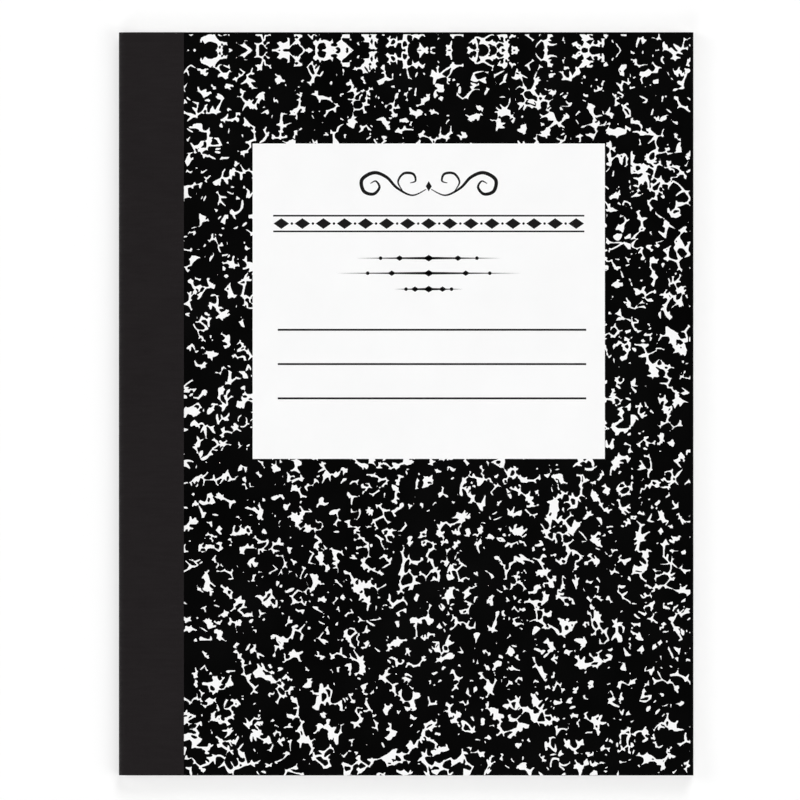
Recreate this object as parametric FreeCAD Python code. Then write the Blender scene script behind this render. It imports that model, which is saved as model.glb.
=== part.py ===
import FreeCAD, Part
import math
import os

# A sewn composition notebook, closed and lying on its back cover, in millimetres.
# +X runs from the spine to the fore-edge, +Y from the tail to the head, +Z from the back cover to the front.
# The origin is the centre of the footprint, on the surface that the notebook lies on.

# Leaves. Half as many sheets are folded once and nested, so the section has a round fold at the spine.
PAGE_WIDTH = 190.5
PAGE_HEIGHT = 247.0
LEAF_COUNT = 100
LEAF_THICKNESS = 0.075

# Cover boards. Each stops short of the fold, so that it can swing clear of it.
BOARD_THICKNESS = 0.7
BOARD_SETBACK = 2.5
FORE_EDGE_OVERHANG = 0.15

# Spine tape, glued round the fold and onto both boards.
TAPE_THICKNESS = 0.25
TAPE_WIDTH_ON_COVER = 21.68
GLUE_LINE = 0.1

# Sewing through the fold. The needle thread runs outside it and is locked by the bobbin thread inside.
THREAD_DIAMETER = 0.4
THREAD_DIAMETER_IN_FOLD = 0.34
THREAD_CLEARANCE = 0.05
NEEDLE_HOLE_DIAMETER = 0.6
STITCH_LENGTH = 12.0
FIRST_STITCH_FROM_EDGE = 9.0

# Title label, placed from the head and the fore-edge of the front cover.
LABEL_WIDTH = 117.07
LABEL_HEIGHT = 104.81
LABEL_THICKNESS = 0.1
LABEL_FROM_HEAD = 36.99
LABEL_FROM_FORE_EDGE = 29.41

# Writing lines printed on the label, placed from its top and its spine side.
LINE_COUNT = 3
LINE_SPACING = 11.39
LINE_WIDTH = 0.53
LINE_LENGTH = 102.4
FIRST_LINE_FROM_TOP = 61.91
LINE_FROM_LABEL_SIDE = 8.41
INK_THICKNESS = 0.02

# Heights of the stack, from the surface up.
BLOCK_THICKNESS = LEAF_COUNT * LEAF_THICKNESS
BACK_BOARD_Z = TAPE_THICKNESS
BLOCK_BOTTOM_Z = BACK_BOARD_Z + BOARD_THICKNESS
MIDDLE_Z = BLOCK_BOTTOM_Z + BLOCK_THICKNESS / 2
BLOCK_TOP_Z = BLOCK_BOTTOM_Z + BLOCK_THICKNESS
FRONT_FACE_Z = BLOCK_TOP_Z + BOARD_THICKNESS
LABEL_FACE_Z = FRONT_FACE_Z + LABEL_THICKNESS

# Radii about the fold, whose centre line is where the flat leaves begin to turn.
FOLD_RADIUS = BLOCK_THICKNESS / 2
TAPE_INNER_RADIUS = FOLD_RADIUS + GLUE_LINE
TAPE_OUTER_RADIUS = TAPE_INNER_RADIUS + TAPE_THICKNESS

# Places along X, from the spine to the fore-edge.
OVERALL_WIDTH = TAPE_THICKNESS + GLUE_LINE + PAGE_WIDTH + FORE_EDGE_OVERHANG
SPINE_X = -OVERALL_WIDTH / 2
FOLD_X = SPINE_X + TAPE_OUTER_RADIUS
CREST_X = FOLD_X - FOLD_RADIUS
BOARD_EDGE_X = FOLD_X + BOARD_SETBACK
TAPE_EDGE_X = SPINE_X + TAPE_WIDTH_ON_COVER
PAGE_EDGE_X = CREST_X + PAGE_WIDTH
FORE_EDGE_X = PAGE_EDGE_X + FORE_EDGE_OVERHANG

# Head and tail.
HEAD_Y = PAGE_HEIGHT / 2
TAIL_Y = -PAGE_HEIGHT / 2

# The needle thread lies in a furrow along the crest of the fold, just under the tape.
THREAD_RADIUS = THREAD_DIAMETER / 2
NEEDLE_THREAD_X = CREST_X - GLUE_LINE + THREAD_CLEARANCE + THREAD_RADIUS
BOBBIN_THREAD_X = FOLD_X

X_AXIS = FreeCAD.Vector(1, 0, 0)
Y_AXIS = FreeCAD.Vector(0, 1, 0)


def section_point(x, z):
    """A point of a cross-section, which is drawn at the tail."""
    return FreeCAD.Vector(x, TAIL_Y, z)


def line(start, end):
    return Part.makeLine(section_point(*start), section_point(*end))


def arc(start, middle, end):
    points = [section_point(*p) for p in (start, middle, end)]
    return Part.Arc(*points).toShape()


def from_tail_to_head(edges):
    """The solid that a cross-section makes along the whole height of the notebook."""
    face = Part.Face(Part.Wire(edges))
    return face.extrude(FreeCAD.Vector(0, PAGE_HEIGHT, 0))


def rod_along_spine(x, diameter):
    """A round rod in the middle plane of the block, from the tail to the head."""
    return Part.makeCylinder(diameter / 2, PAGE_HEIGHT, section_point(x, MIDDLE_Z), Y_AXIS)


def below_middle(point):
    """The same point on the other side of the block's middle plane."""
    x, z = point
    return (x, 2 * MIDDLE_Z - z)


def stitch_places():
    """Heights of the stitch holes, evenly spaced and centred between tail and head."""
    room = PAGE_HEIGHT - 2 * FIRST_STITCH_FROM_EDGE
    gaps = math.floor(room / STITCH_LENGTH)
    first = -gaps * STITCH_LENGTH / 2
    return [first + i * STITCH_LENGTH for i in range(gaps + 1)]


def rods_through_fold(start_x, end_x, diameter):
    """One round rod at each stitch, straight through the fold."""
    rods = []
    for y in stitch_places():
        base = FreeCAD.Vector(start_x, y, MIDDLE_Z)
        rods.append(Part.makeCylinder(diameter / 2, end_x - start_x, base, X_AXIS))
    return rods


def page_block():
    """All the leaves as one solid: a round fold at the spine, three trimmed edges, and the sewing holes."""
    fold_top = (FOLD_X, BLOCK_TOP_Z)
    fold_bottom = below_middle(fold_top)
    fore_top = (PAGE_EDGE_X, BLOCK_TOP_Z)
    fore_bottom = below_middle(fore_top)
    block = from_tail_to_head([
        line(fold_top, fore_top),
        line(fore_top, fore_bottom),
        line(fore_bottom, fold_bottom),
        arc(fold_bottom, (CREST_X, MIDDLE_Z), fold_top),
    ])
    furrow = rod_along_spine(NEEDLE_THREAD_X, THREAD_DIAMETER + 2 * THREAD_CLEARANCE)
    middle_fold = rod_along_spine(BOBBIN_THREAD_X, NEEDLE_HOLE_DIAMETER + 2 * THREAD_CLEARANCE)
    holes = rods_through_fold(NEEDLE_THREAD_X, BOBBIN_THREAD_X, NEEDLE_HOLE_DIAMETER)
    return block.cut([furrow, middle_fold] + holes)


def needle_thread():
    """The outer thread with the legs, pulled thinner, that it sends in through every stitch hole."""
    inner_end = BOBBIN_THREAD_X - THREAD_RADIUS - THREAD_CLEARANCE
    legs = rods_through_fold(NEEDLE_THREAD_X, inner_end, THREAD_DIAMETER_IN_FOLD)
    return rod_along_spine(NEEDLE_THREAD_X, THREAD_DIAMETER).fuse(legs)


def bobbin_thread():
    """The inner thread, along the fold of the innermost sheet."""
    return rod_along_spine(BOBBIN_THREAD_X, THREAD_DIAMETER)


def cover(outer_z, inner_z):
    """A flat board between the two heights, flush with the leaves at head and tail."""
    return from_tail_to_head([
        line((BOARD_EDGE_X, outer_z), (FORE_EDGE_X, outer_z)),
        line((FORE_EDGE_X, outer_z), (FORE_EDGE_X, inner_z)),
        line((FORE_EDGE_X, inner_z), (BOARD_EDGE_X, inner_z)),
        line((BOARD_EDGE_X, inner_z), (BOARD_EDGE_X, outer_z)),
    ])


def spine_tape():
    """The tape, drawn taut: round the fold, straight to the edge of each board, and flat onto its face."""
    rise = FRONT_FACE_Z - MIDDLE_Z
    reach = math.hypot(BOARD_SETBACK, rise)
    leaves_fold_at = math.atan2(rise, BOARD_SETBACK) + math.acos(TAPE_INNER_RADIUS / reach)
    slope = leaves_fold_at - math.pi / 2

    def on_fold(radius, angle):
        return (FOLD_X + radius * math.cos(angle), MIDDLE_Z + radius * math.sin(angle))

    inner_crest = on_fold(TAPE_INNER_RADIUS, math.pi)
    outer_crest = on_fold(TAPE_OUTER_RADIUS, math.pi)
    inner_tangent = on_fold(TAPE_INNER_RADIUS, leaves_fold_at)
    outer_tangent = on_fold(TAPE_OUTER_RADIUS, leaves_fold_at)
    board_corner = (BOARD_EDGE_X, FRONT_FACE_Z)
    outer_z = FRONT_FACE_Z + TAPE_THICKNESS
    outer_corner = (BOARD_EDGE_X - TAPE_THICKNESS * math.tan(slope / 2), outer_z)
    inner_end = (TAPE_EDGE_X, FRONT_FACE_Z)
    outer_end = (TAPE_EDGE_X, outer_z)
    return from_tail_to_head([
        line(inner_end, outer_end),
        line(outer_end, outer_corner),
        line(outer_corner, outer_tangent),
        arc(outer_tangent, outer_crest, below_middle(outer_tangent)),
        line(below_middle(outer_tangent), below_middle(outer_corner)),
        line(below_middle(outer_corner), below_middle(outer_end)),
        line(below_middle(outer_end), below_middle(inner_end)),
        line(below_middle(inner_end), below_middle(board_corner)),
        line(below_middle(board_corner), below_middle(inner_tangent)),
        arc(below_middle(inner_tangent), inner_crest, inner_tangent),
        line(inner_tangent, board_corner),
        line(board_corner, inner_end),
    ])


def title_label():
    """A blank panel of white paper, pasted on the front cover."""
    corner = FreeCAD.Vector(
        FORE_EDGE_X - LABEL_FROM_FORE_EDGE - LABEL_WIDTH,
        HEAD_Y - LABEL_FROM_HEAD - LABEL_HEIGHT,
        FRONT_FACE_Z,
    )
    return Part.makeBox(LABEL_WIDTH, LABEL_HEIGHT, LABEL_THICKNESS, corner)


def writing_lines():
    """The ruled lines for a name, as thin bars of ink on the label."""
    label_side = FORE_EDGE_X - LABEL_FROM_FORE_EDGE - LABEL_WIDTH
    label_top = HEAD_Y - LABEL_FROM_HEAD
    bars = []
    for i in range(LINE_COUNT):
        middle = label_top - FIRST_LINE_FROM_TOP - i * LINE_SPACING
        corner = FreeCAD.Vector(label_side + LINE_FROM_LABEL_SIDE, middle - LINE_WIDTH / 2, LABEL_FACE_Z)
        bars.append(Part.makeBox(LINE_LENGTH, LINE_WIDTH, INK_THICKNESS, corner))
    return Part.makeCompound(bars)


NODES = {
    "page_block": page_block(),
    "needle_thread": needle_thread(),
    "bobbin_thread": bobbin_thread(),
    "front_cover": cover(FRONT_FACE_Z, BLOCK_TOP_Z),
    "back_cover": cover(BACK_BOARD_Z, BLOCK_BOTTOM_Z),
    "spine_tape": spine_tape(),
    "title_label": title_label(),
    "writing_lines": writing_lines(),
}

os.makedirs("parts", exist_ok=True)
for name, shape in NODES.items():
    shape.exportStep("parts/" + name + ".step")
    print(name, len(shape.Solids), "solids", round(shape.Volume, 2), "mm3", shape.isValid())
print("hinge line at x", round(FOLD_X, 3), "middle plane at z", round(MIDDLE_Z, 3))
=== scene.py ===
import math

import bpy
import numpy as np
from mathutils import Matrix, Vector
from mathutils.geometry import tessellate_polygon


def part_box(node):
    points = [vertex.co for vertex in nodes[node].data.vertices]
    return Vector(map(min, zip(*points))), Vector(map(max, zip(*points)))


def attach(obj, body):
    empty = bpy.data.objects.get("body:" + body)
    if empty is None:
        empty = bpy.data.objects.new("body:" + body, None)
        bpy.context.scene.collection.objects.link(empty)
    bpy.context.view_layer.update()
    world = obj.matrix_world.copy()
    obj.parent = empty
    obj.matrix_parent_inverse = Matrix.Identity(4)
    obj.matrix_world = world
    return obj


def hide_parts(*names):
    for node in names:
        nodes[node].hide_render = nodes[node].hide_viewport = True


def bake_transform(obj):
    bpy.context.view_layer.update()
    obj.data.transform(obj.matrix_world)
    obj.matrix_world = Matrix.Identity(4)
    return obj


# Looks of a sewn composition notebook.
# Lengths are in millimetres and become metres as meshes are made.
# +X runs from the spine to the fore-edge, +Y from the tail to the head,
# and +Z from the back cover to the front.

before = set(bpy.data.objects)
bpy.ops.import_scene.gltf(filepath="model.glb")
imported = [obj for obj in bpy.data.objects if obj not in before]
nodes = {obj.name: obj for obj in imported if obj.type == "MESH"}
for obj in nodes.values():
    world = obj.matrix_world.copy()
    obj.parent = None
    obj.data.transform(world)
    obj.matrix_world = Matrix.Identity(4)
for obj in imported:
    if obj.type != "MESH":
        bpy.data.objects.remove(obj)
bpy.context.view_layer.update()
METRES = 0.001


def extent(node):
    """Lowest and highest corner of a CAD node in millimetres."""
    low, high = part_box(node)
    return np.array(low) / METRES, np.array(high) / METRES


TAPE_LOW, TAPE_HIGH = extent("spine_tape")
BLOCK_LOW, BLOCK_HIGH = extent("page_block")
COVER_LOW, COVER_HIGH = extent("front_cover")
LABEL_LOW, LABEL_HIGH = extent("title_label")
NEEDLE_LOW, NEEDLE_HIGH = extent("needle_thread")
BOBBIN_LOW, BOBBIN_HIGH = extent("bobbin_thread")
INK_LOW, INK_HIGH = extent("writing_lines")

# Places that follow from the CAD.
TAIL_Y, HEAD_Y = BLOCK_LOW[1], BLOCK_HIGH[1]
MIDDLE_Z = (BLOCK_LOW[2] + BLOCK_HIGH[2]) / 2
FOLD_RADIUS = (BLOCK_HIGH[2] - BLOCK_LOW[2]) / 2
FOLD_X = BLOCK_LOW[0] + FOLD_RADIUS
PAGE_EDGE_X = BLOCK_HIGH[0]
FORE_EDGE_X = COVER_HIGH[0]
BOARD_EDGE_X = COVER_LOW[0]
FRONT_FACE = COVER_HIGH[2] - MIDDLE_Z
INNER_FACE = COVER_LOW[2] - MIDDLE_Z
TAPE_THICKNESS = TAPE_HIGH[2] - COVER_HIGH[2]
TAPE_OUTER_RADIUS = FOLD_X - TAPE_LOW[0]
TAPE_INNER_RADIUS = TAPE_OUTER_RADIUS - TAPE_THICKNESS
TAPE_EDGE_X = TAPE_HIGH[0]
LABEL_MIDDLE_X = (LABEL_LOW[0] + LABEL_HIGH[0]) / 2

# Marbled print. Drops of two sizes push the white paint into walls between them,
# which break up into flakes.
PRINT_STEP = 0.2
PRINT_COVERAGE = 0.169
PRINT_LIFT = 0.015
DROPS_PER_MM2 = ((0.0483, 0.615, 2.173), (0.1063, 0.306, 0.891))
DROP_SQUASH = 0.318
DROP_WANDER = ((0.059, 1.699), (0.1956, 1.121))
DEEPEST_IN_DROP = 1.847
FURTHEST_FROM_DROP = 0.31
POOL_WEIGHT = 1.02
WIDEST_WALL = 3.587
WALL_REACH = 3.0
WALL_SOFTNESS = 0.1284
WALL_UNEVENNESS = ((0.2837, 0.9278), (0.1081, 0.8606))
FLAKE_ROUNDING = 0.1347
FLAKE_SLOPE = 0.0461
SMALLEST_FLAKE = 0.01
OUTLINE_TOLERANCE = 0.022
THINNING_ROUNDS = 3
SEAM_FROM_FORE_EDGE = 20.7
MIRROR_FROM_HEAD = 6.0
# Where the print is bolder: how far from the head or the tail, the half width and by how much.
BOLD_AT_HEAD = (MIRROR_FROM_HEAD, 8.0, 0.13)
BOLD_AT_TAIL = (1.0, 4.5, 0.16)
FRONT_SEED = 11
BACK_SEED = 29
BARE_AT_FORE_EDGE = 1.1
BARE_AT_HEAD = 0.6
UNDER_TAPE = 0.4
UNDER_LABEL = 0.6

# Spine tape, as cloth whose straight run beside the fold is finely divided along its first part.
THREAD_PITCH = 0.5
UV_LENGTH = 250.0
THREADS_PER_UV = UV_LENGTH / THREAD_PITCH
HINGE_BEND = 0.8
HINGE_STEPS = 12
ARC_STEPS = 30
BEFORE_BEND_STEPS = 3
AFTER_BEND_STEPS = 4
FLAT_STEPS = 6
EDGE_ROUNDING = 0.07
TAPE_ROWS = 48
SHARP_FROM_DEGREES = 35

# Leaves: sheets folded once and nested.
SHEET_COUNT = 50
SHEET_SHARE_OF_PITCH = 0.84
TRIM_UNEVENNESS = 0.035
TRIM_SEED = 5
EYE_CLEARANCE = 0.02
EYE_REACH = 0.95
LEAN_AT_THREAD_DEGREES = 22
NEEDLE_CLEARANCE = 0.03
INNERMOST_GAP = 0.004
FOLD_STEPS = 25
FURROW_STEPS = 9
FURROW_HALF_ANGLE = 0.14
ANGLE_DECIMALS = 9
FURROW_HALF_WIDTH = 0.42
FURROW_FADE = 1.3
FOLD_MARGIN = 1.8

# Ruling printed on the two outermost pages.
RULE_SPACING = 8.7
RULE_FROM_HEAD = 32.0
RULE_FROM_TAIL = 9.0
RULE_WIDTH = 0.25
MARGIN_FROM_LEFT = 31.75
RULE_LIFT = 0.003
MARGIN_LINE_TRIM = 0.2
BLUE_INK = ((0.3, 0.47, 0.68, 1.0), (0.2, 0.36, 0.6, 1.0))
RED_INK = ((0.72, 0.33, 0.36, 1.0), (0.62, 0.2, 0.25, 1.0))

# Writing lines, whose ink has spread a little into the paper.
INK_LINES = 3
INK_WIDTH = 0.53
INK_SPREAD = 0.055

# Ornament on the label, placed from the label's top edge. A lozenge is a width and a height.
# Each scroll is a path for its right half, with its thinnest and its thickest stroke.
SCROLL_FROM_TOP = 13.6
SCROLLS = (
    (((0.8, -1.6), (5.5, -3.6), (10.5, -1.2), (14.0, 2.4), (18.2, 3.9), (22.2, 1.6),
      (21.6, -2.2), (18.4, -3.2), (16.4, -1.0), (17.6, 1.1), (19.4, 0.3)), 0.25, 1.2),
    (((8.6, -2.2), (10.2, 0.8), (8.4, 3.6), (5.2, 3.5), (4.4, 1.2), (6.2, 0.5)), 0.2, 0.85),
)
SCROLL_LOZENGE = (2.0, 3.4)
SCROLL_LOZENGE_DROP = 0.6
BAND_FROM_TOP = 26.6
BAND_HEIGHT = 5.2
BAND_LENGTH = 103.4
BAND_REPEAT = 7.0
BAND_RULE = 0.55
BAND_LOZENGE = (BAND_REPEAT * 0.74, BAND_HEIGHT * 0.68)
BAND_DOT = 0.42
# Short rules: each one's place and length, and what stands on it at a share of that length.
SHORT_RULES = ((38.1, 48.5), (43.1, 61.5), (48.4, 22.9))
SHORT_RULE_HEIGHT = 0.85
MIDDLE_LOZENGE = (3.6, 2.2)
SIDE_LOZENGE = (2.8, 1.8)
SIDE_LOZENGE_AT = 0.2
SIDE_DOT = 0.6
SIDE_DOT_AT = 0.33
DOT_SIDES = 16

# Camera and light. The photograph's pixels are 0.3325 mm wide.
PHOTO_WIDTH = 265.88
VIEW_CENTRE = (-2.0, 1.27)
LENS = 800.0
SENSOR = 36.0
# Each lamp: its azimuth and height in degrees, its strength and how many degrees wide it looks.
LAMPS = ((75, 50, 1.33, 26), (255, 50, 0.79, 30), (-15, 50, 0.79, 30), (165, 50, 0.88, 30))
# Surroundings: the sine of the height where they begin and end to darken, and their strength there.
HORIZON_SINE, HORIZON = 0.06, 1.1
ZENITH_SINE, ZENITH = 0.3, 0.06
FLOOR_GLOW = 0.5
FLOOR_HALF = 4000.0
FLOOR_DROP = 0.02

# How deep under a face its own finish reaches, before that of the cut edge begins.
FACE_DEPTH = 0.02


def metres(points):
    """Points in millimetres as vectors in metres."""
    return [Vector(p) * METRES for p in np.asarray(points, float).tolist()]


def new_mesh(name, points, faces, smooth=False):
    """A mesh object from points in millimetres."""
    mesh = bpy.data.meshes.new(name)
    mesh.from_pydata(metres(points), [], faces)
    mesh.polygons.foreach_set("use_smooth", [smooth] * len(mesh.polygons))
    piece = bpy.data.objects.new(name, mesh)
    bpy.context.scene.collection.objects.link(piece)
    return piece


class Finish:
    """A node material on the Principled shader, with short calls for the nodes in common use."""

    def __init__(self, name, **sockets):
        self.material = bpy.data.materials.new(name)
        self.material.use_nodes = True
        self.tree = self.material.node_tree
        self.shader = self.tree.nodes["Principled BSDF"]
        for socket, value in sockets.items():
            self.shader.inputs[socket.replace("_", " ")].default_value = value
        self.place = self.node("ShaderNodeTexCoord").outputs["Object"]

    def node(self, kind, **inputs):
        made = self.tree.nodes.new(kind)
        for key, value in inputs.items():
            self.feed(made.inputs[key.replace("_", " ")], value)
        return made

    def feed(self, socket, value):
        if isinstance(value, bpy.types.NodeSocket):
            self.tree.links.new(value, socket)
        else:
            socket.default_value = value

    def math(self, operation, a, b=0.0):
        made = self.tree.nodes.new("ShaderNodeMath")
        made.operation = operation
        self.feed(made.inputs[0], a)
        self.feed(made.inputs[1], b)
        return made.outputs[0]

    def stretched(self, x, y, z):
        """The place on the object, with each axis scaled: a larger number makes finer detail."""
        made = self.tree.nodes.new("ShaderNodeMapping")
        self.feed(made.inputs["Vector"], self.place)
        made.inputs["Scale"].default_value = (x, y, z)
        return made.outputs["Vector"]

    def noise(self, vector, scale, detail=2.0):
        made = self.node("ShaderNodeTexNoise", Vector=vector, Scale=scale, Detail=detail)
        return made.outputs["Fac"]

    def spread(self, value, low, high, start=0.3, end=0.7):
        """A noise value, mapped from start..end to low..high."""
        ranges = {"From_Min": start, "From_Max": end, "To_Min": low, "To_Max": high}
        return self.node("ShaderNodeMapRange", Value=value, **ranges).outputs["Result"]

    def mix(self, share, a, b):
        made = self.tree.nodes.new("ShaderNodeMix")
        made.data_type = "RGBA"
        self.feed(made.inputs["Factor"], share)
        self.feed(made.inputs[6], a)
        self.feed(made.inputs[7], b)
        return made.outputs[2]

    def axes(self):
        made = self.node("ShaderNodeSeparateXYZ", Vector=self.place)
        return made.outputs

    def colour(self, value):
        self.feed(self.shader.inputs["Base Color"], value)

    def roughness(self, value):
        self.feed(self.shader.inputs["Roughness"], value)

    def bump(self, height, depth, strength=1.0):
        """Relief whose full height is depth, in millimetres."""
        distance = depth * METRES
        made = self.node("ShaderNodeBump", Height=height, Distance=distance, Strength=strength)
        self.feed(self.shader.inputs["Normal"], made.outputs["Normal"])


def grey(value):
    """A neutral colour."""
    return (value, value, value, 1.0)


def board_texture(f):
    """The fibre under the coating and the coating's blotches, which board and print share."""
    return f.noise(f.stretched(900, 620, 900), 2.2, 5.0), f.noise(f.place, 45.0, 3.0)


def board_finish():
    """Pressboard: coated black print outside, plain paper inside, layered pulp at the cut edges."""
    f = Finish("marbled_board", Specular_IOR_Level=0.12)
    off_middle = f.math("ABSOLUTE", f.math("SUBTRACT", f.axes()["Z"], MIDDLE_Z * METRES))
    outside = f.math("GREATER_THAN", off_middle, (FRONT_FACE - FACE_DEPTH) * METRES)
    inside = f.math("LESS_THAN", off_middle, (INNER_FACE + FACE_DEPTH) * METRES)
    fibre, blotch = board_texture(f)
    layers = f.noise(f.stretched(60, 60, 9000), 1.0, 3.0)
    ink = f.mix(f.spread(blotch, 0.0, 1.0), grey(0.0006), grey(0.0014))
    pulp = f.mix(f.spread(layers, 0.0, 1.0), (0.2, 0.19, 0.175, 1.0), (0.43, 0.41, 0.38, 1.0))
    lining = f.mix(f.spread(fibre, 0.0, 1.0), (0.76, 0.755, 0.735, 1.0), (0.8, 0.795, 0.775, 1.0))
    f.colour(f.mix(inside, f.mix(outside, pulp, ink), lining))
    f.roughness(f.mix(outside, grey(0.82), f.spread(blotch, 0.21, 0.27)))
    f.bump(f.math("ADD", fibre, f.math("MULTIPLY", layers, 0.6)), 0.009)
    return f.material


def flake_finish():
    """White print under the same thin coating as the board."""
    f = Finish("marbled_print", Specular_IOR_Level=0.12)
    fibre, blotch = board_texture(f)
    f.colour(f.mix(f.spread(blotch, 0.0, 1.0), grey(0.92), grey(0.95)))
    f.roughness(f.spread(blotch, 0.24, 0.31))
    f.bump(fibre, 0.009)
    return f.material


def label_finish():
    """Smooth white paper with a faint fibre."""
    f = Finish("label_paper", Specular_IOR_Level=0.3)
    fibre = f.noise(f.stretched(700, 1100, 700), 1.6, 6.0)
    cloud = f.noise(f.place, 60.0, 4.0)
    f.colour(f.mix(f.spread(cloud, 0.0, 1.0), grey(0.925), grey(0.945)))
    f.roughness(f.spread(fibre, 0.62, 0.75))
    f.bump(fibre, 0.006)
    return f.material


def ink_finish():
    """Black printing ink that has sunk a little unevenly into the paper."""
    f = Finish("printing_ink", Specular_IOR_Level=0.12)
    mottle = f.noise(f.place, 1800.0, 3.0)
    deep, worn = (0.0034, 0.003, 0.0032, 1.0), (0.0062, 0.0056, 0.0058, 1.0)
    f.colour(f.mix(f.spread(mottle, 0.0, 1.0), deep, worn))
    f.roughness(f.spread(mottle, 0.5, 0.65))
    f.bump(mottle, 0.003)
    return f.material


def tape_finish():
    """Charcoal book cloth, woven over and under, with a slightly uneven dye and painted shade in
    the hollows of the weave.
    """
    f = Finish("spine_tape", Specular_IOR_Level=0.1, Sheen_Weight=0.02, Sheen_Roughness=0.5)
    cloth = f.node("ShaderNodeUVMap")
    cloth.uv_map = "cloth"
    along = f.node("ShaderNodeSeparateXYZ", Vector=cloth.outputs["UV"]).outputs
    across = f.math("MULTIPLY", along["X"], THREADS_PER_UV)
    down = f.math("MULTIPLY", along["Y"], THREADS_PER_UV)
    warp = f.math("ABSOLUTE", f.math("SINE", f.math("MULTIPLY", across, math.pi)))
    weft = f.math("ABSOLUTE", f.math("SINE", f.math("MULTIPLY", down, math.pi)))
    steps = f.math("ADD", f.math("FLOOR", across), f.math("FLOOR", down))
    over = f.math("FLOORED_MODULO", steps, 2.0)
    under = f.math("SUBTRACT", 1.0, over)
    weave = f.math("ADD", f.math("MULTIPLY", warp, over), f.math("MULTIPLY", weft, under))
    slub = f.noise(f.stretched(120, 900, 120), 1.0, 3.0)
    dye = f.noise(f.place, 70.0, 4.0)
    # The colour is partly the dye's real unevenness and partly painted shade. It is darker in the
    # weave's hollows and lighter on the threads' crowns, from the same weave as the relief.
    dye_and_weave_shade = f.math("ADD", f.math("MULTIPLY", weave, 0.35), f.spread(dye, 0.3, 0.5))
    f.colour(f.mix(dye_and_weave_shade, (0.0068, 0.0052, 0.0056, 1.0), (0.0145, 0.0118, 0.0126, 1.0)))
    f.roughness(f.spread(slub, 0.62, 0.8))
    f.bump(f.math("ADD", weave, f.math("MULTIPLY", slub, 0.5)), 0.035)
    return f.material


def thread_finish():
    """White sewing thread, twisted from two plies, with painted shade in the grooves between them.
    """
    f = Finish("thread", Specular_IOR_Level=0.3, Sheen_Weight=0.2)
    axes = f.axes()
    rise = f.math("SUBTRACT", axes["Z"], MIDDLE_Z * METRES)
    turn = f.math("MULTIPLY", rise, 5500.0)
    twist = f.math("SINE", f.math("ADD", f.math("MULTIPLY", axes["Y"], 7000.0), turn))
    fuzz = f.noise(f.place, 6000.0, 3.0)
    # The grooves between the plies are painted darker than the plies. This is painted shade,
    # following the same twist as the relief.
    groove_painted_shade, ply = (0.6, 0.59, 0.56, 1.0), (0.86, 0.85, 0.82, 1.0)
    f.colour(f.mix(f.spread(twist, 0.0, 1.0, -1.0, 1.0), groove_painted_shade, ply))
    f.roughness(f.spread(fuzz, 0.7, 0.9))
    f.bump(f.math("ADD", twist, fuzz), 0.03)
    return f.material


def leaf_finish():
    """Uncoated writing paper. The cut edges are darkened by a random amount from leaf to leaf:
    partly each leaf's own tone, partly painted shade in the gaps between the leaves.
    """
    f = Finish("leaves", Specular_IOR_Level=0.25)
    leaf = f.noise(f.stretched(25, 25, 6500), 1.0, 3.0)
    fibre = f.noise(f.stretched(500, 800, 500), 2.4, 5.0)
    off_middle = f.math("ABSOLUTE", f.math("SUBTRACT", f.axes()["Z"], MIDDLE_Z * METRES))
    edge = f.math("LESS_THAN", off_middle, (FOLD_RADIUS - FACE_DEPTH) * METRES)
    page = f.mix(f.spread(fibre, 0.0, 1.0), (0.845, 0.84, 0.82, 1.0), (0.865, 0.86, 0.842, 1.0))
    # The cut edges are darkened at random from leaf to leaf. This is partly each leaf's own tone
    # and partly painted shade for the gaps between leaves.
    edge_tone_and_gap_shade = f.math("MULTIPLY", f.spread(leaf, 0.0, 0.6), edge)
    f.colour(f.mix(edge_tone_and_gap_shade, page, (0.69, 0.68, 0.65, 1.0)))
    f.roughness(f.spread(fibre, 0.8, 0.92))
    f.bump(fibre, 0.008)
    return f.material


def rule_finish(name, pale, strong):
    """Thin coloured ruling ink, broken a little by the paper's tooth."""
    f = Finish(name, Specular_IOR_Level=0.2)
    tooth = f.noise(f.place, 2500.0, 4.0)
    f.colour(f.mix(f.spread(tooth, 0.0, 1.0), pale, strong))
    f.roughness(f.spread(tooth, 0.75, 0.88))
    f.bump(tooth, 0.003)
    return f.material


def floor_finish():
    """Plain pale studio floor. What the camera sees directly is white, less the object's shadow."""
    f = Finish("studio_floor", Roughness=0.9, Specular_IOR_Level=0.0)
    rays = f.node("ShaderNodeLightPath").outputs
    seen = f.math("MAXIMUM", rays["Is Camera Ray"], rays["Is Glossy Ray"])
    seen = f.math("MAXIMUM", seen, rays["Is Transmission Ray"])
    f.colour(f.mix(seen, grey(0.8), grey(1.0 - FLOOR_GLOW)))
    f.shader.inputs["Emission Color"].default_value = grey(1.0)
    f.feed(f.shader.inputs["Emission Strength"], f.math("MULTIPLY", seen, FLOOR_GLOW))
    return f.material


def give(piece, material):
    """Make this the piece's only material."""
    piece.data.materials.clear()
    piece.data.materials.append(material)


def blurred(field, size):
    """The field, softened by a Gaussian of that many cells."""
    rows = np.fft.fftfreq(field.shape[0])[:, None]
    columns = np.fft.rfftfreq(field.shape[1])[None, :]
    kernel = np.exp(-2 * (math.pi * size) ** 2 * (rows ** 2 + columns ** 2))
    return np.fft.irfft2(np.fft.rfft2(field) * kernel, s=field.shape)


def cloud(rng, shape, size):
    """Smooth random values with a spread of one."""
    field = blurred(rng.standard_normal(shape), size)
    return field / field.std()


def cell_places(shape):
    """The x and the y of a field's cells."""
    y, x = np.mgrid[: shape[0], : shape[1]] * PRINT_STEP
    return x, y


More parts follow.
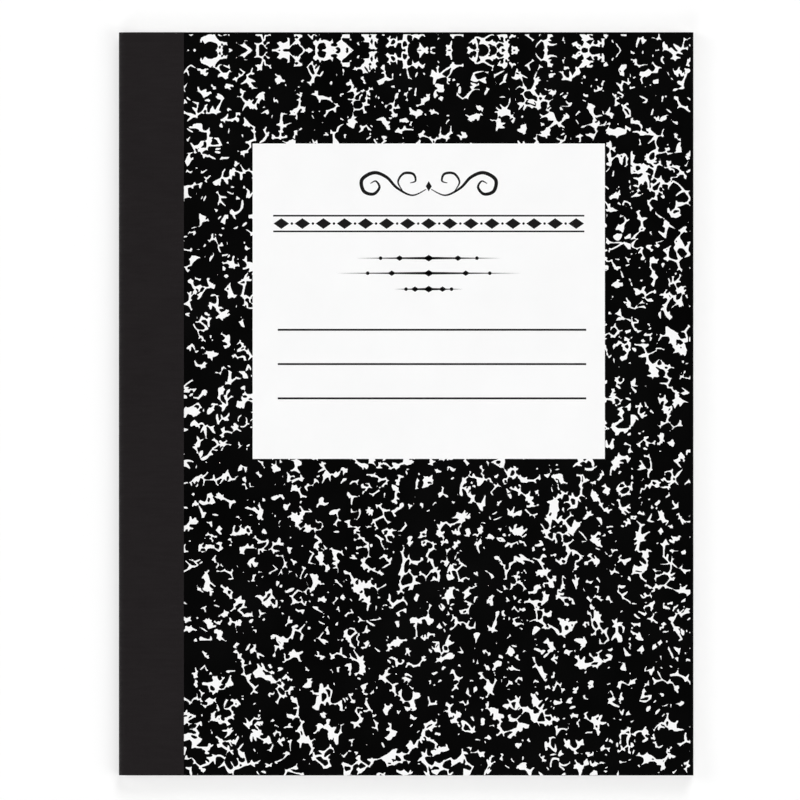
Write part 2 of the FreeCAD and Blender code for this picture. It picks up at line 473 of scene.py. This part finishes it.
def marbling(width, height, seed, bold_bands=()):
    """A field over width by height that is above zero on the white flakes.

    Each bold band has its height over the tail, its half width and how much bolder it is.
    """
    rng = np.random.default_rng(seed)
    shape = (round(height / PRINT_STEP) + 1, round(width / PRINT_STEP) + 1)
    x, y = cell_places(shape)
    boldness = np.zeros(shape)
    for middle, half, amount in bold_bands:
        boldness += amount * np.exp(-((y - middle) / half) ** 2)
    for size, grain in DROP_WANDER:
        x = x + size * cloud(rng, shape, grain / PRINT_STEP)
        y = y + size * cloud(rng, shape, grain / PRINT_STEP)
    # Three times its spread covers nearly all of the wander.
    wander = 3 * sum(size for size, grain in DROP_WANDER)
    nearest = np.full(shape, width + height)
    second = nearest + WIDEST_WALL
    for count, smallest, largest in DROPS_PER_MM2:
        number = round(count * width * height)
        radii = rng.uniform(smallest, largest, number)
        centres = rng.uniform((0, 0), (width, height), (number, 2))
        squashes = rng.uniform(DROP_SQUASH, 1, number)
        turns = rng.uniform(0, math.pi, number)
        for (cx, cy), radius, squash, turn in zip(centres, radii, squashes, turns):
            reach = radius + WALL_REACH + wander
            near = tuple(
                slice(max(0, int((c - reach) / PRINT_STEP)), int((c + reach) / PRINT_STEP) + 2)
                for c in (cy, cx)
            )
            dx, dy = x[near] - cx, y[near] - cy
            along = dx * math.cos(turn) + dy * math.sin(turn)
            across = (dy * math.cos(turn) - dx * math.sin(turn)) / squash
            gap = np.hypot(along, across) - radius
            second[near] = np.minimum(second[near], np.maximum(nearest[near], gap))
            nearest[near] = np.minimum(nearest[near], gap)
    walls = np.minimum(second - nearest, WIDEST_WALL)
    pools = POOL_WEIGHT * np.clip(nearest, -DEEPEST_IN_DROP, FURTHEST_FROM_DROP)
    field = blurred(pools - walls, WALL_SOFTNESS / PRINT_STEP)
    for amount, grain in WALL_UNEVENNESS:
        field = field + amount * cloud(rng, shape, grain / PRINT_STEP)
    field += boldness
    field = np.clip((field - np.quantile(field, 1 - PRINT_COVERAGE)) / FLAKE_SLOPE, -1, 1)
    field = blurred(field, FLAKE_ROUNDING / PRINT_STEP)
    return field - np.quantile(field, 1 - PRINT_COVERAGE)


def outlines(field):
    """Closed outlines of the places above zero, in cells, with the high side on their left."""
    # A low border closes every outline.
    f = np.pad(field, 1, constant_values=-1e3)
    rows, columns = f.shape
    high = f > 0
    # Each grid edge has a number: the horizontal ones first, then the vertical ones.
    across = np.arange(rows * columns).reshape(rows, columns)
    up = across + rows * columns
    bottom, top = across[:-1, :-1], across[1:, :-1]
    left, right = up[:-1, :-1], up[:-1, 1:]
    corners = high[:-1, :-1] + 2 * high[:-1, 1:] + 4 * high[1:, 1:] + 8 * high[1:, :-1]
    sides = {
        1: [(bottom, left)], 2: [(right, bottom)], 3: [(right, left)], 4: [(top, right)],
        5: [(bottom, left), (top, right)], 6: [(top, bottom)], 7: [(top, left)], 8: [(left, top)],
        9: [(bottom, top)], 10: [(right, bottom), (left, top)], 11: [(right, top)],
        12: [(left, right)], 13: [(bottom, right)], 14: [(left, bottom)],
    }
    follow = {}
    for kind, pairs in sides.items():
        here = corners == kind
        for start, end in pairs:
            follow.update(zip(start[here].tolist(), end[here].tolist()))
    share_x = np.clip(f[:, :-1] / (f[:, :-1] - f[:, 1:] + 1e-12), 0, 1)
    share_y = np.clip(f[:-1] / (f[:-1] - f[1:] + 1e-12), 0, 1)
    loops = []
    while follow:
        first, number = follow.popitem()
        ids = [first]
        while number != first:
            ids.append(number)
            number = follow.pop(number)
        ids = np.array(ids)
        upright = ids >= rows * columns
        row, column = np.divmod(ids % (rows * columns), columns)
        x, y = column.astype(float), row.astype(float)
        x[~upright] += share_x[row[~upright], column[~upright]]
        y[upright] += share_y[row[upright], column[upright]]
        loops.append(np.stack([x, y], 1) - 1)
    return loops


def thinned(loop):
    """The outline without the points that lie within the tolerance of a straight line."""
    for _ in range(THINNING_ROUNDS):
        if len(loop) < 8:
            break
        before, after = np.roll(loop, 1, 0), np.roll(loop, -1, 0)
        chord = after - before
        offset = loop - before
        length = np.hypot(*chord.T) + 1e-9
        deviation = abs(chord[:, 0] * offset[:, 1] - chord[:, 1] * offset[:, 0]) / length
        keep = (deviation > OUTLINE_TOLERANCE) | (np.arange(len(loop)) % 2 == 0)
        loop = loop[keep]
    return loop


def area(loop):
    """Signed area of a loop, positive where it runs anticlockwise."""
    x, y = loop.T
    return (x * np.roll(y, -1) - y * np.roll(x, -1)).sum() / 2


def holds(loop, point):
    """Whether the point is inside the loop."""
    x, y = loop.T
    x2, y2 = np.roll(x, -1), np.roll(y, -1)
    crosses = (y > point[1]) != (y2 > point[1])
    with np.errstate(divide="ignore", invalid="ignore"):
        meets = x + (point[1] - y) / (y2 - y) * (x2 - x) > point[0]
    return bool((crosses & meets).sum() % 2)


def flakes(name, field, corner, z, facing):
    """The white flakes of a field as one thin printed layer at height z."""
    loops = [thinned(loop * PRINT_STEP) for loop in outlines(field)]
    loops = [loop for loop in loops if len(loop) >= 3]
    solid = [loop for loop in loops if area(loop) > SMALLEST_FLAKE]
    gaps = [loop for loop in loops if area(loop) < -SMALLEST_FLAKE]
    low = np.array([loop.min(0) for loop in solid])
    high = np.array([loop.max(0) for loop in solid])
    size = (high - low).prod(1)
    inside = [[] for _ in solid]
    for loop in gaps:
        around = np.flatnonzero((low < loop.min(0)).all(1) & (high > loop.max(0)).all(1))
        for i in around[np.argsort(size[around])]:
            if holds(solid[i], loop[0]):
                inside[i].append(loop)
                break
    points, faces = [], []
    for loop, holes in zip(solid, inside):
        rings = [loop] + holes
        flat = np.concatenate(rings)
        first = len(points)
        outline = [[Vector((*p, 0.0)) for p in ring.tolist()] for ring in rings]
        for a, b, c in tessellate_polygon(outline):
            turn = np.cross(flat[b] - flat[a], flat[c] - flat[a])
            corners = (a, b, c) if turn * facing > 0 else (a, c, b)
            faces.append([first + i for i in corners])
        points.extend((corner[0] + p[0], corner[1] + p[1], z) for p in flat.tolist())
    return new_mesh(name, points, faces)


def printed_field(seed, seamed):
    """The print of one cover, from under the tape's edge to the fore-edge and from tail to head.

    A seamed print also has a mirrored band at its head, and is bolder there and at its tail.
    """
    left = TAPE_EDGE_X - UNDER_TAPE
    width, height = FORE_EDGE_X - left, HEAD_Y - TAIL_Y
    from_head, *head_band = BOLD_AT_HEAD
    bands = ((height - from_head, *head_band), BOLD_AT_TAIL) if seamed else ()
    field = marbling(width, height, seed, bands)
    if seamed:
        rows, columns = field.shape
        axis = round((height - MIRROR_FROM_HEAD) / PRINT_STEP)
        field[axis:] = field[2 * axis - rows + 1: axis + 1][::-1]
        strip = round((width - SEAM_FROM_FORE_EDGE) / PRINT_STEP)
        other = marbling((columns - 1 - strip) * PRINT_STEP, height, seed + 1, bands)
        field[:, strip:] = other[:, : columns - strip]
    x, y = cell_places(field.shape)
    field[x > width - BARE_AT_FORE_EDGE] = -1
    field[(y > height - BARE_AT_HEAD) & (x < width - SEAM_FROM_FORE_EDGE)] = -1
    return field, (left, TAIL_Y)


def marbled_prints(finish):
    """The print on both covers. What the label hides of the front is left out."""
    field, corner = printed_field(FRONT_SEED, True)
    x, y = cell_places(field.shape)
    x, y = x + corner[0], y + corner[1]
    hidden = (x > LABEL_LOW[0] + UNDER_LABEL) & (x < LABEL_HIGH[0] - UNDER_LABEL)
    hidden &= (y > LABEL_LOW[1] + UNDER_LABEL) & (y < LABEL_HIGH[1] - UNDER_LABEL)
    field[hidden] = -1
    front = flakes("front_marbling", field, corner, MIDDLE_Z + FRONT_FACE + PRINT_LIFT, 1)
    field, corner = printed_field(BACK_SEED, False)
    back = flakes("back_marbling", field, corner, MIDDLE_Z - FRONT_FACE - PRINT_LIFT, -1)
    for piece, body in ((front, "front_cover"), (back, "back_cover")):
        give(piece, finish)
        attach(piece, body)


def straight(start, end, steps):
    """Points in even steps from start up to end, which is left out."""
    return [tuple(np.add(start, np.subtract(end, start) * i / steps)) for i in range(steps)]


def tape_profile():
    """Half of the tape's section, outside and inside, in x and height over the middle plane."""
    rise = FRONT_FACE
    setback = BOARD_EDGE_X - FOLD_X
    leaves_at = math.atan2(rise, setback) + math.acos(TAPE_INNER_RADIUS / math.hypot(setback, rise))
    slope = leaves_at - math.pi / 2

    def side(radius, corner, end):
        arc = [math.pi + (leaves_at - math.pi) * i / ARC_STEPS for i in range(ARC_STEPS)]
        tangent = np.array((FOLD_X + radius * math.cos(leaves_at), radius * math.sin(leaves_at)))
        run = np.array(corner) - tangent
        bend = [tangent + run * (FOLD_X + x - tangent[0]) / run[0] for x in (0.0, HINGE_BEND)]
        points = [(FOLD_X + radius * math.cos(a), radius * math.sin(a)) for a in arc]
        points += straight(tangent, bend[0], BEFORE_BEND_STEPS)
        points += straight(bend[0], bend[1], HINGE_STEPS)
        points += straight(bend[1], corner, AFTER_BEND_STEPS)
        points += straight(corner, end, FLAT_STEPS)
        return points

    outer_z = rise + TAPE_THICKNESS
    outer_corner = (BOARD_EDGE_X - TAPE_THICKNESS * math.tan(slope / 2), outer_z)
    outer = side(TAPE_OUTER_RADIUS, outer_corner, (TAPE_EDGE_X - EDGE_ROUNDING, outer_z))
    inner = side(TAPE_INNER_RADIUS, (BOARD_EDGE_X, rise), (TAPE_EDGE_X, rise))
    turned = []
    for a in (0.0, math.pi / 6, math.pi / 3, math.pi / 2):
        in_x, in_z = EDGE_ROUNDING * (1 - math.sin(a)), EDGE_ROUNDING * (1 - math.cos(a))
        turned.append((TAPE_EDGE_X - in_x, outer_z - in_z))
    return outer + turned, inner + [(TAPE_EDGE_X, rise)]


def tape_half(name, side):
    """Half of the tape, from the middle of the spine to its edge on one cover."""
    outer, inner = tape_profile()
    loop = np.array(outer + inner[::-1])
    around = len(loop)
    lengths = np.hypot(*(np.roll(loop, -1, 0) - loop).T)
    arc = np.concatenate([[0], np.cumsum(lengths)])
    points, faces, cloth = [], [], []
    heights = np.linspace(TAIL_Y, HEAD_Y, TAPE_ROWS + 1)
    for y in heights:
        points.extend((x, y, MIDDLE_Z + side * z) for x, z in loop)
    for row in range(TAPE_ROWS):
        # The last strip closes the half where it meets the other one.
        for i in range(around):
            a, b = row * around + i, row * around + (i + 1) % around
            corners = [(a, i, row), (b, i + 1, row)]
            corners += [(b + around, i + 1, row + 1), (a + around, i, row + 1)]
            corners = corners if side > 0 else corners[::-1]
            faces.append([c[0] for c in corners])
            cloth.extend((side * arc[c[1]], heights[c[2]]) for c in corners)
    # The cut ends are strips between the outer and the inner run.
    last = len(outer) - 1
    pairs = [(round(i * last / (len(inner) - 1)), around - 1 - i) for i in range(len(inner))]
    for row, turn in ((0, -side), (TAPE_ROWS, side)):
        start = row * around
        for (a, b), (c, d) in zip(pairs, pairs[1:]):
            between = list(range(a, c + 1))
            corners = [start + i for i in between] + [start + d, start + b]
            corners = corners if turn > 0 else corners[::-1]
            faces.append(corners)
            cloth.extend((side * arc[i - start], heights[row]) for i in corners)
    piece = new_mesh(name, points, faces, smooth=True)
    layer = piece.data.uv_layers.new(name="cloth")
    layer.data.foreach_set("uv", (np.array(cloth) / UV_LENGTH + 0.5).ravel())
    piece.data.set_sharp_from_angle(angle=math.radians(SHARP_FROM_DEGREES))
    return piece


def spine_tape(finish):
    """Both halves of the tape, each bending from the fold onto its cover."""
    halves = (("spine_tape_front", 1, "front_cover"), ("spine_tape_back", -1, "back_cover"))
    for name, side, body in halves:
        piece = tape_half(name, side)
        give(piece, finish)
        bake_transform(piece)
        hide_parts("spine_tape")


def fold_line(radius):
    """The path of one side of a folded sheet, from its upper leaf round the fold to its lower."""
    eye = (BOBBIN_HIGH[2] - BOBBIN_LOW[2]) / 2 + EYE_CLEARANCE
    round_thread = eye + radius * (EYE_REACH - eye) / EYE_REACH if radius < EYE_REACH else radius
    depth = FOLD_RADIUS - radius
    furrow = NEEDLE_HIGH[2] - NEEDLE_LOW[2] + NEEDLE_CLEARANCE
    dent = furrow * max(0.0, 1 - depth / FURROW_FADE)
    # A leaf near the thread comes down to it on a slope, and the others run straight into the fold.
    lean = math.radians(LEAN_AT_THREAD_DEGREES) * max(0.0, 1 - radius / EYE_REACH)
    turn = np.linspace(math.pi / 2 - lean, 3 * math.pi / 2 + lean, FOLD_STEPS)
    # Rounded, so that both runs' middle angle counts once and every line has as many points.
    at_furrow = math.pi + np.linspace(-FURROW_HALF_ANGLE, FURROW_HALF_ANGLE, FURROW_STEPS)
    angles = np.unique(np.round(np.concatenate([turn, at_furrow]), ANGLE_DECIMALS))
    points = [(FOLD_X + FOLD_MARGIN, radius)]
    for angle in angles:
        off = (angle - math.pi) * round_thread / FURROW_HALF_WIDTH
        r = round_thread - dent * math.exp(-off * off * 2)
        points.append((FOLD_X + r * math.cos(angle), r * math.sin(angle)))
    points.append((FOLD_X + FOLD_MARGIN, -radius))
    return points


def leaves(finish):
    """All the sheets of the section, each a thin folded solid with its own trimmed edges."""
    rng = np.random.default_rng(TRIM_SEED)
    pitch = FOLD_RADIUS / SHEET_COUNT
    thickness = pitch * SHEET_SHARE_OF_PITCH
    wave = np.cumsum(rng.normal(0, 1, SHEET_COUNT))
    wave = (wave - wave.mean()) / abs(wave - wave.mean()).max()
    points, faces = [], []
    for i in range(SHEET_COUNT):
        middle = (i + 0.5) * pitch
        outside = fold_line(middle + thickness / 2)
        inside = fold_line(max(middle - thickness / 2, INNERMOST_GAP))
        # The top leaf, the bottom leaf, the tail and the head are each trimmed differently.
        trims = np.abs(rng.normal(0, TRIM_UNEVENNESS, 4)) + TRIM_UNEVENNESS * (wave[i] + 1) / 2
        upper, lower = PAGE_EDGE_X - trims[0], PAGE_EDGE_X - trims[1]
        ring = [(upper, outside[0][1])] + outside + [(lower, outside[-1][1])]
        ring += [(lower, inside[-1][1])] + inside[::-1] + [(upper, inside[0][1])]
        count = len(ring)
        first = len(points)
        for y in (TAIL_Y + trims[2], HEAD_Y - trims[3]):
            points.extend((x, y, MIDDLE_Z + z) for x, z in ring)
        for a in range(count):
            b = (a + 1) % count
            faces.append([first + b, first + a, first + count + a, first + count + b])
        for a in range(count // 2 - 1):
            near, far = (a, a + 1), (count - 2 - a, count - 1 - a)
            faces.append([first + near[0], first + near[1], first + far[0], first + far[1]])
            base = first + count
            faces.append([base + near[1], base + near[0], base + far[1], base + far[0]])
    piece = new_mesh("leaves", points, faces)
    give(piece, finish)
    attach(piece, "text_block")
    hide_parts("page_block")


def bar(x0, x1, y0, y1, z, facing):
    """The corners of a flat printed bar, in the order that faces it up or down."""
    corners = [(x0, y0, z), (x1, y0, z), (x1, y1, z), (x0, y1, z)]
    return corners if facing > 0 else corners[::-1]


def page_ruling(blue, red):
    """Ruled lines and a margin line on the first page and on the last."""
    rules, margins = [], []
    page = FOLD_RADIUS - FOLD_RADIUS / SHEET_COUNT * (1 - SHEET_SHARE_OF_PITCH) / 2 + RULE_LIFT
    from_edge = 4 * TRIM_UNEVENNESS
    for side in (1, -1):
        z = MIDDLE_Z + side * page
        left = FOLD_X + FOLD_MARGIN if side > 0 else PAGE_EDGE_X
        margin = left + side * MARGIN_FROM_LEFT
        y = HEAD_Y - RULE_FROM_HEAD
        while y > TAIL_Y + RULE_FROM_TAIL:
            low, high = y - RULE_WIDTH / 2, y + RULE_WIDTH / 2
            rules.append(bar(FOLD_X + FOLD_MARGIN, PAGE_EDGE_X - from_edge, low, high, z, side))
            y -= RULE_SPACING
        z += side * RULE_LIFT
        low, high = TAIL_Y + MARGIN_LINE_TRIM, HEAD_Y - MARGIN_LINE_TRIM
        margins.append(bar(margin - RULE_WIDTH / 2, margin + RULE_WIDTH / 2, low, high, z, side))
    for name, bars, finish in (("ruled_lines", rules, blue), ("margin_lines", margins, red)):
        points = [p for b in bars for p in b]
        faces = [list(range(4 * i, 4 * i + 4)) for i in range(len(bars))]
        piece = new_mesh(name, points, faces)
        give(piece, finish)
        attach(piece, "text_block")


def smooth_line(points, steps=10):
    """A Catmull-Rom line through the points."""
    p = np.array([points[0]] + list(points) + [points[-1]], float)
    line = []
    for a, b, c, d in zip(p, p[1:], p[2:], p[3:]):
        square, cube = 2 * a - 5 * b + 4 * c - d, 3 * b - a - 3 * c + d
        for t in np.linspace(0, 1, steps, endpoint=False):
            line.append(0.5 * (2 * b + (c - a) * t + square * t * t + cube * t ** 3))
    return np.array(line + [p[-1]])


def pen_stroke(line, thin, thick):
    """A flat stroke along the line that swells from thin at its ends to thick in its middle."""
    direction = np.gradient(line, axis=0)
    direction /= np.hypot(*direction.T)[:, None]
    side = np.stack([-direction[:, 1], direction[:, 0]], 1)
    share = np.sin(np.linspace(0, math.pi, len(line)))[:, None]
    half = (thin + (thick - thin) * share) / 2
    return line + side * half, line - side * half


# The faces of a box, given its lower and then its upper four corners.
BOX_FACES = ((3, 2, 1, 0), (4, 5, 6, 7), (0, 1, 5, 4), (1, 2, 6, 5), (2, 3, 7, 6), (3, 0, 4, 7))


def printed_lines(finish):
    """The writing lines as printed, each a thin closed bar."""
    spacing = (INK_HIGH[1] - INK_LOW[1] - INK_WIDTH) / (INK_LINES - 1)
    points, faces = [], []
    for i in range(INK_LINES):
        low = INK_LOW[1] + i * spacing - INK_SPREAD
        high = low + INK_WIDTH + 2 * INK_SPREAD
        first = len(points)
        for z in (INK_LOW[2], INK_HIGH[2]):
            points += bar(INK_LOW[0] - INK_SPREAD, INK_HIGH[0] + INK_SPREAD, low, high, z, 1)
        faces.extend([first + corner for corner in face] for face in BOX_FACES)
    piece = new_mesh("printed_lines", points, faces)
    give(piece, finish)
    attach(piece, "front_cover")
    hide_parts("writing_lines")


def ornament(finish):
    """A plain printer's ornament: a mirrored scroll, a band of lozenges and short tapered rules."""
    z = LABEL_HIGH[2] + (INK_HIGH[2] - INK_LOW[2])
    middle = LABEL_MIDDLE_X
    points, faces = [], []

    def polygon(corners):
        first = len(points)
        points.extend((x, y, z) for x, y in corners)
        if area(np.array(corners)) > 0:
            faces.append(list(range(first, len(points))))
        else:
            faces.append(list(range(first, len(points)))[::-1])

    def mirrored_stroke(line, thin, thick):
        for sign in (1, -1):
            a, b = pen_stroke(line * (sign, 1), thin, thick)
            for i in range(len(line) - 1):
                polygon([(middle + q[0], q[1]) for q in (a[i], b[i], b[i + 1], a[i + 1])])

    def lozenge(x, y, width, height):
        x += middle
        polygon([(x - width / 2, y), (x, y - height / 2), (x + width / 2, y), (x, y + height / 2)])

    def dot(x, y, radius):
        turn = np.linspace(0, 2 * math.pi, DOT_SIDES, endpoint=False)
        polygon([(middle + x + radius * math.cos(a), y + radius * math.sin(a)) for a in turn])

    top = LABEL_HIGH[1]
    scroll_y = top - SCROLL_FROM_TOP
    for path, thin, thick in SCROLLS:
        mirrored_stroke(smooth_line(path) + (0, scroll_y), thin, thick)
    lozenge(0, scroll_y - SCROLL_LOZENGE_DROP, *SCROLL_LOZENGE)
    band_y = top - BAND_FROM_TOP
    for edge in (-1, 1):
        y = band_y + edge * BAND_HEIGHT / 2
        left, right = middle - BAND_LENGTH / 2, middle + BAND_LENGTH / 2
        low, high = y - BAND_RULE / 2, y + BAND_RULE / 2
        polygon([(left, low), (right, low), (right, high), (left, high)])
    count = round((BAND_LENGTH - BAND_HEIGHT) / BAND_REPEAT)
    for i in range(count + 1):
        x = (i - count / 2) * BAND_REPEAT
        lozenge(x, band_y, *BAND_LOZENGE)
        if i < count:
            dot(x + BAND_REPEAT / 2, band_y, BAND_DOT)
    for from_top, length in SHORT_RULES:
        y = top - from_top
        # A tapered rule is a lozenge that is very long for its height.
        lozenge(0, y, length, SHORT_RULE_HEIGHT)
        lozenge(0, y, *MIDDLE_LOZENGE)
        for side in (-1, 1):
            lozenge(side * length * SIDE_LOZENGE_AT, y, *SIDE_LOZENGE)
            dot(side * length * SIDE_DOT_AT, y, SIDE_DOT)
    piece = new_mesh("label_ornament", points, faces)
    give(piece, finish)
    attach(piece, "front_cover")


def studio():
    """Floor, camera, lamps and surroundings."""
    scene = bpy.context.scene
    scene.view_settings.view_transform = "Standard"
    corners = bar(-FLOOR_HALF, FLOOR_HALF, -FLOOR_HALF, FLOOR_HALF, 0, 1)
    floor = new_mesh("floor", corners, [[0, 1, 2, 3]])
    floor.location.z = -FLOOR_DROP * METRES
    give(floor, floor_finish())

    camera = bpy.data.objects.new("camera", bpy.data.cameras.new("camera"))
    camera.data.lens = LENS
    camera.data.sensor_width = SENSOR
    camera.location = Vector((*VIEW_CENTRE, COVER_HIGH[2] + PHOTO_WIDTH * LENS / SENSOR)) * METRES
    scene.collection.objects.link(camera)
    scene.camera = camera

    for i, (azimuth, height, strength, width) in enumerate(LAMPS):
        lamp = bpy.data.lights.new("lamp_%d" % i, "SUN")
        lamp.energy = strength
        lamp.angle = math.radians(width)
        holder = bpy.data.objects.new("lamp_%d" % i, lamp)
        a, h = math.radians(azimuth), math.radians(height)
        towards = Vector((math.cos(a) * math.cos(h), math.sin(a) * math.cos(h), math.sin(h)))
        holder.rotation_euler = towards.to_track_quat("Z", "Y").to_euler()
        scene.collection.objects.link(holder)

    # The surroundings are white at the horizon and darken towards the zenith.
    world = bpy.data.worlds.new("studio")
    world.use_nodes = True
    scene.world = world
    tree = world.node_tree
    direction = tree.nodes.new("ShaderNodeTexCoord")
    axes = tree.nodes.new("ShaderNodeSeparateXYZ")
    fade = tree.nodes.new("ShaderNodeMapRange")
    ends = {"From Min": HORIZON_SINE, "From Max": ZENITH_SINE, "To Min": HORIZON, "To Max": ZENITH}
    for socket, value in ends.items():
        fade.inputs[socket].default_value = value
    tree.links.new(direction.outputs["Generated"], axes.inputs["Vector"])
    tree.links.new(axes.outputs["Z"], fade.inputs["Value"])
    background = tree.nodes["Background"]
    background.inputs["Color"].default_value = grey(1.0)
    tree.links.new(fade.outputs["Result"], background.inputs["Strength"])


board = board_finish()
ink = ink_finish()
thread = thread_finish()
for name, finish in (
    ("front_cover", board), ("back_cover", board), ("title_label", label_finish()),
    ("needle_thread", thread), ("bobbin_thread", thread),
):
    give(nodes[name], finish)
marbled_prints(flake_finish())
spine_tape(tape_finish())
leaves(leaf_finish())
page_ruling(rule_finish("ruling_blue", *BLUE_INK), rule_finish("ruling_red", *RED_INK))
printed_lines(ink)
ornament(ink)
studio()
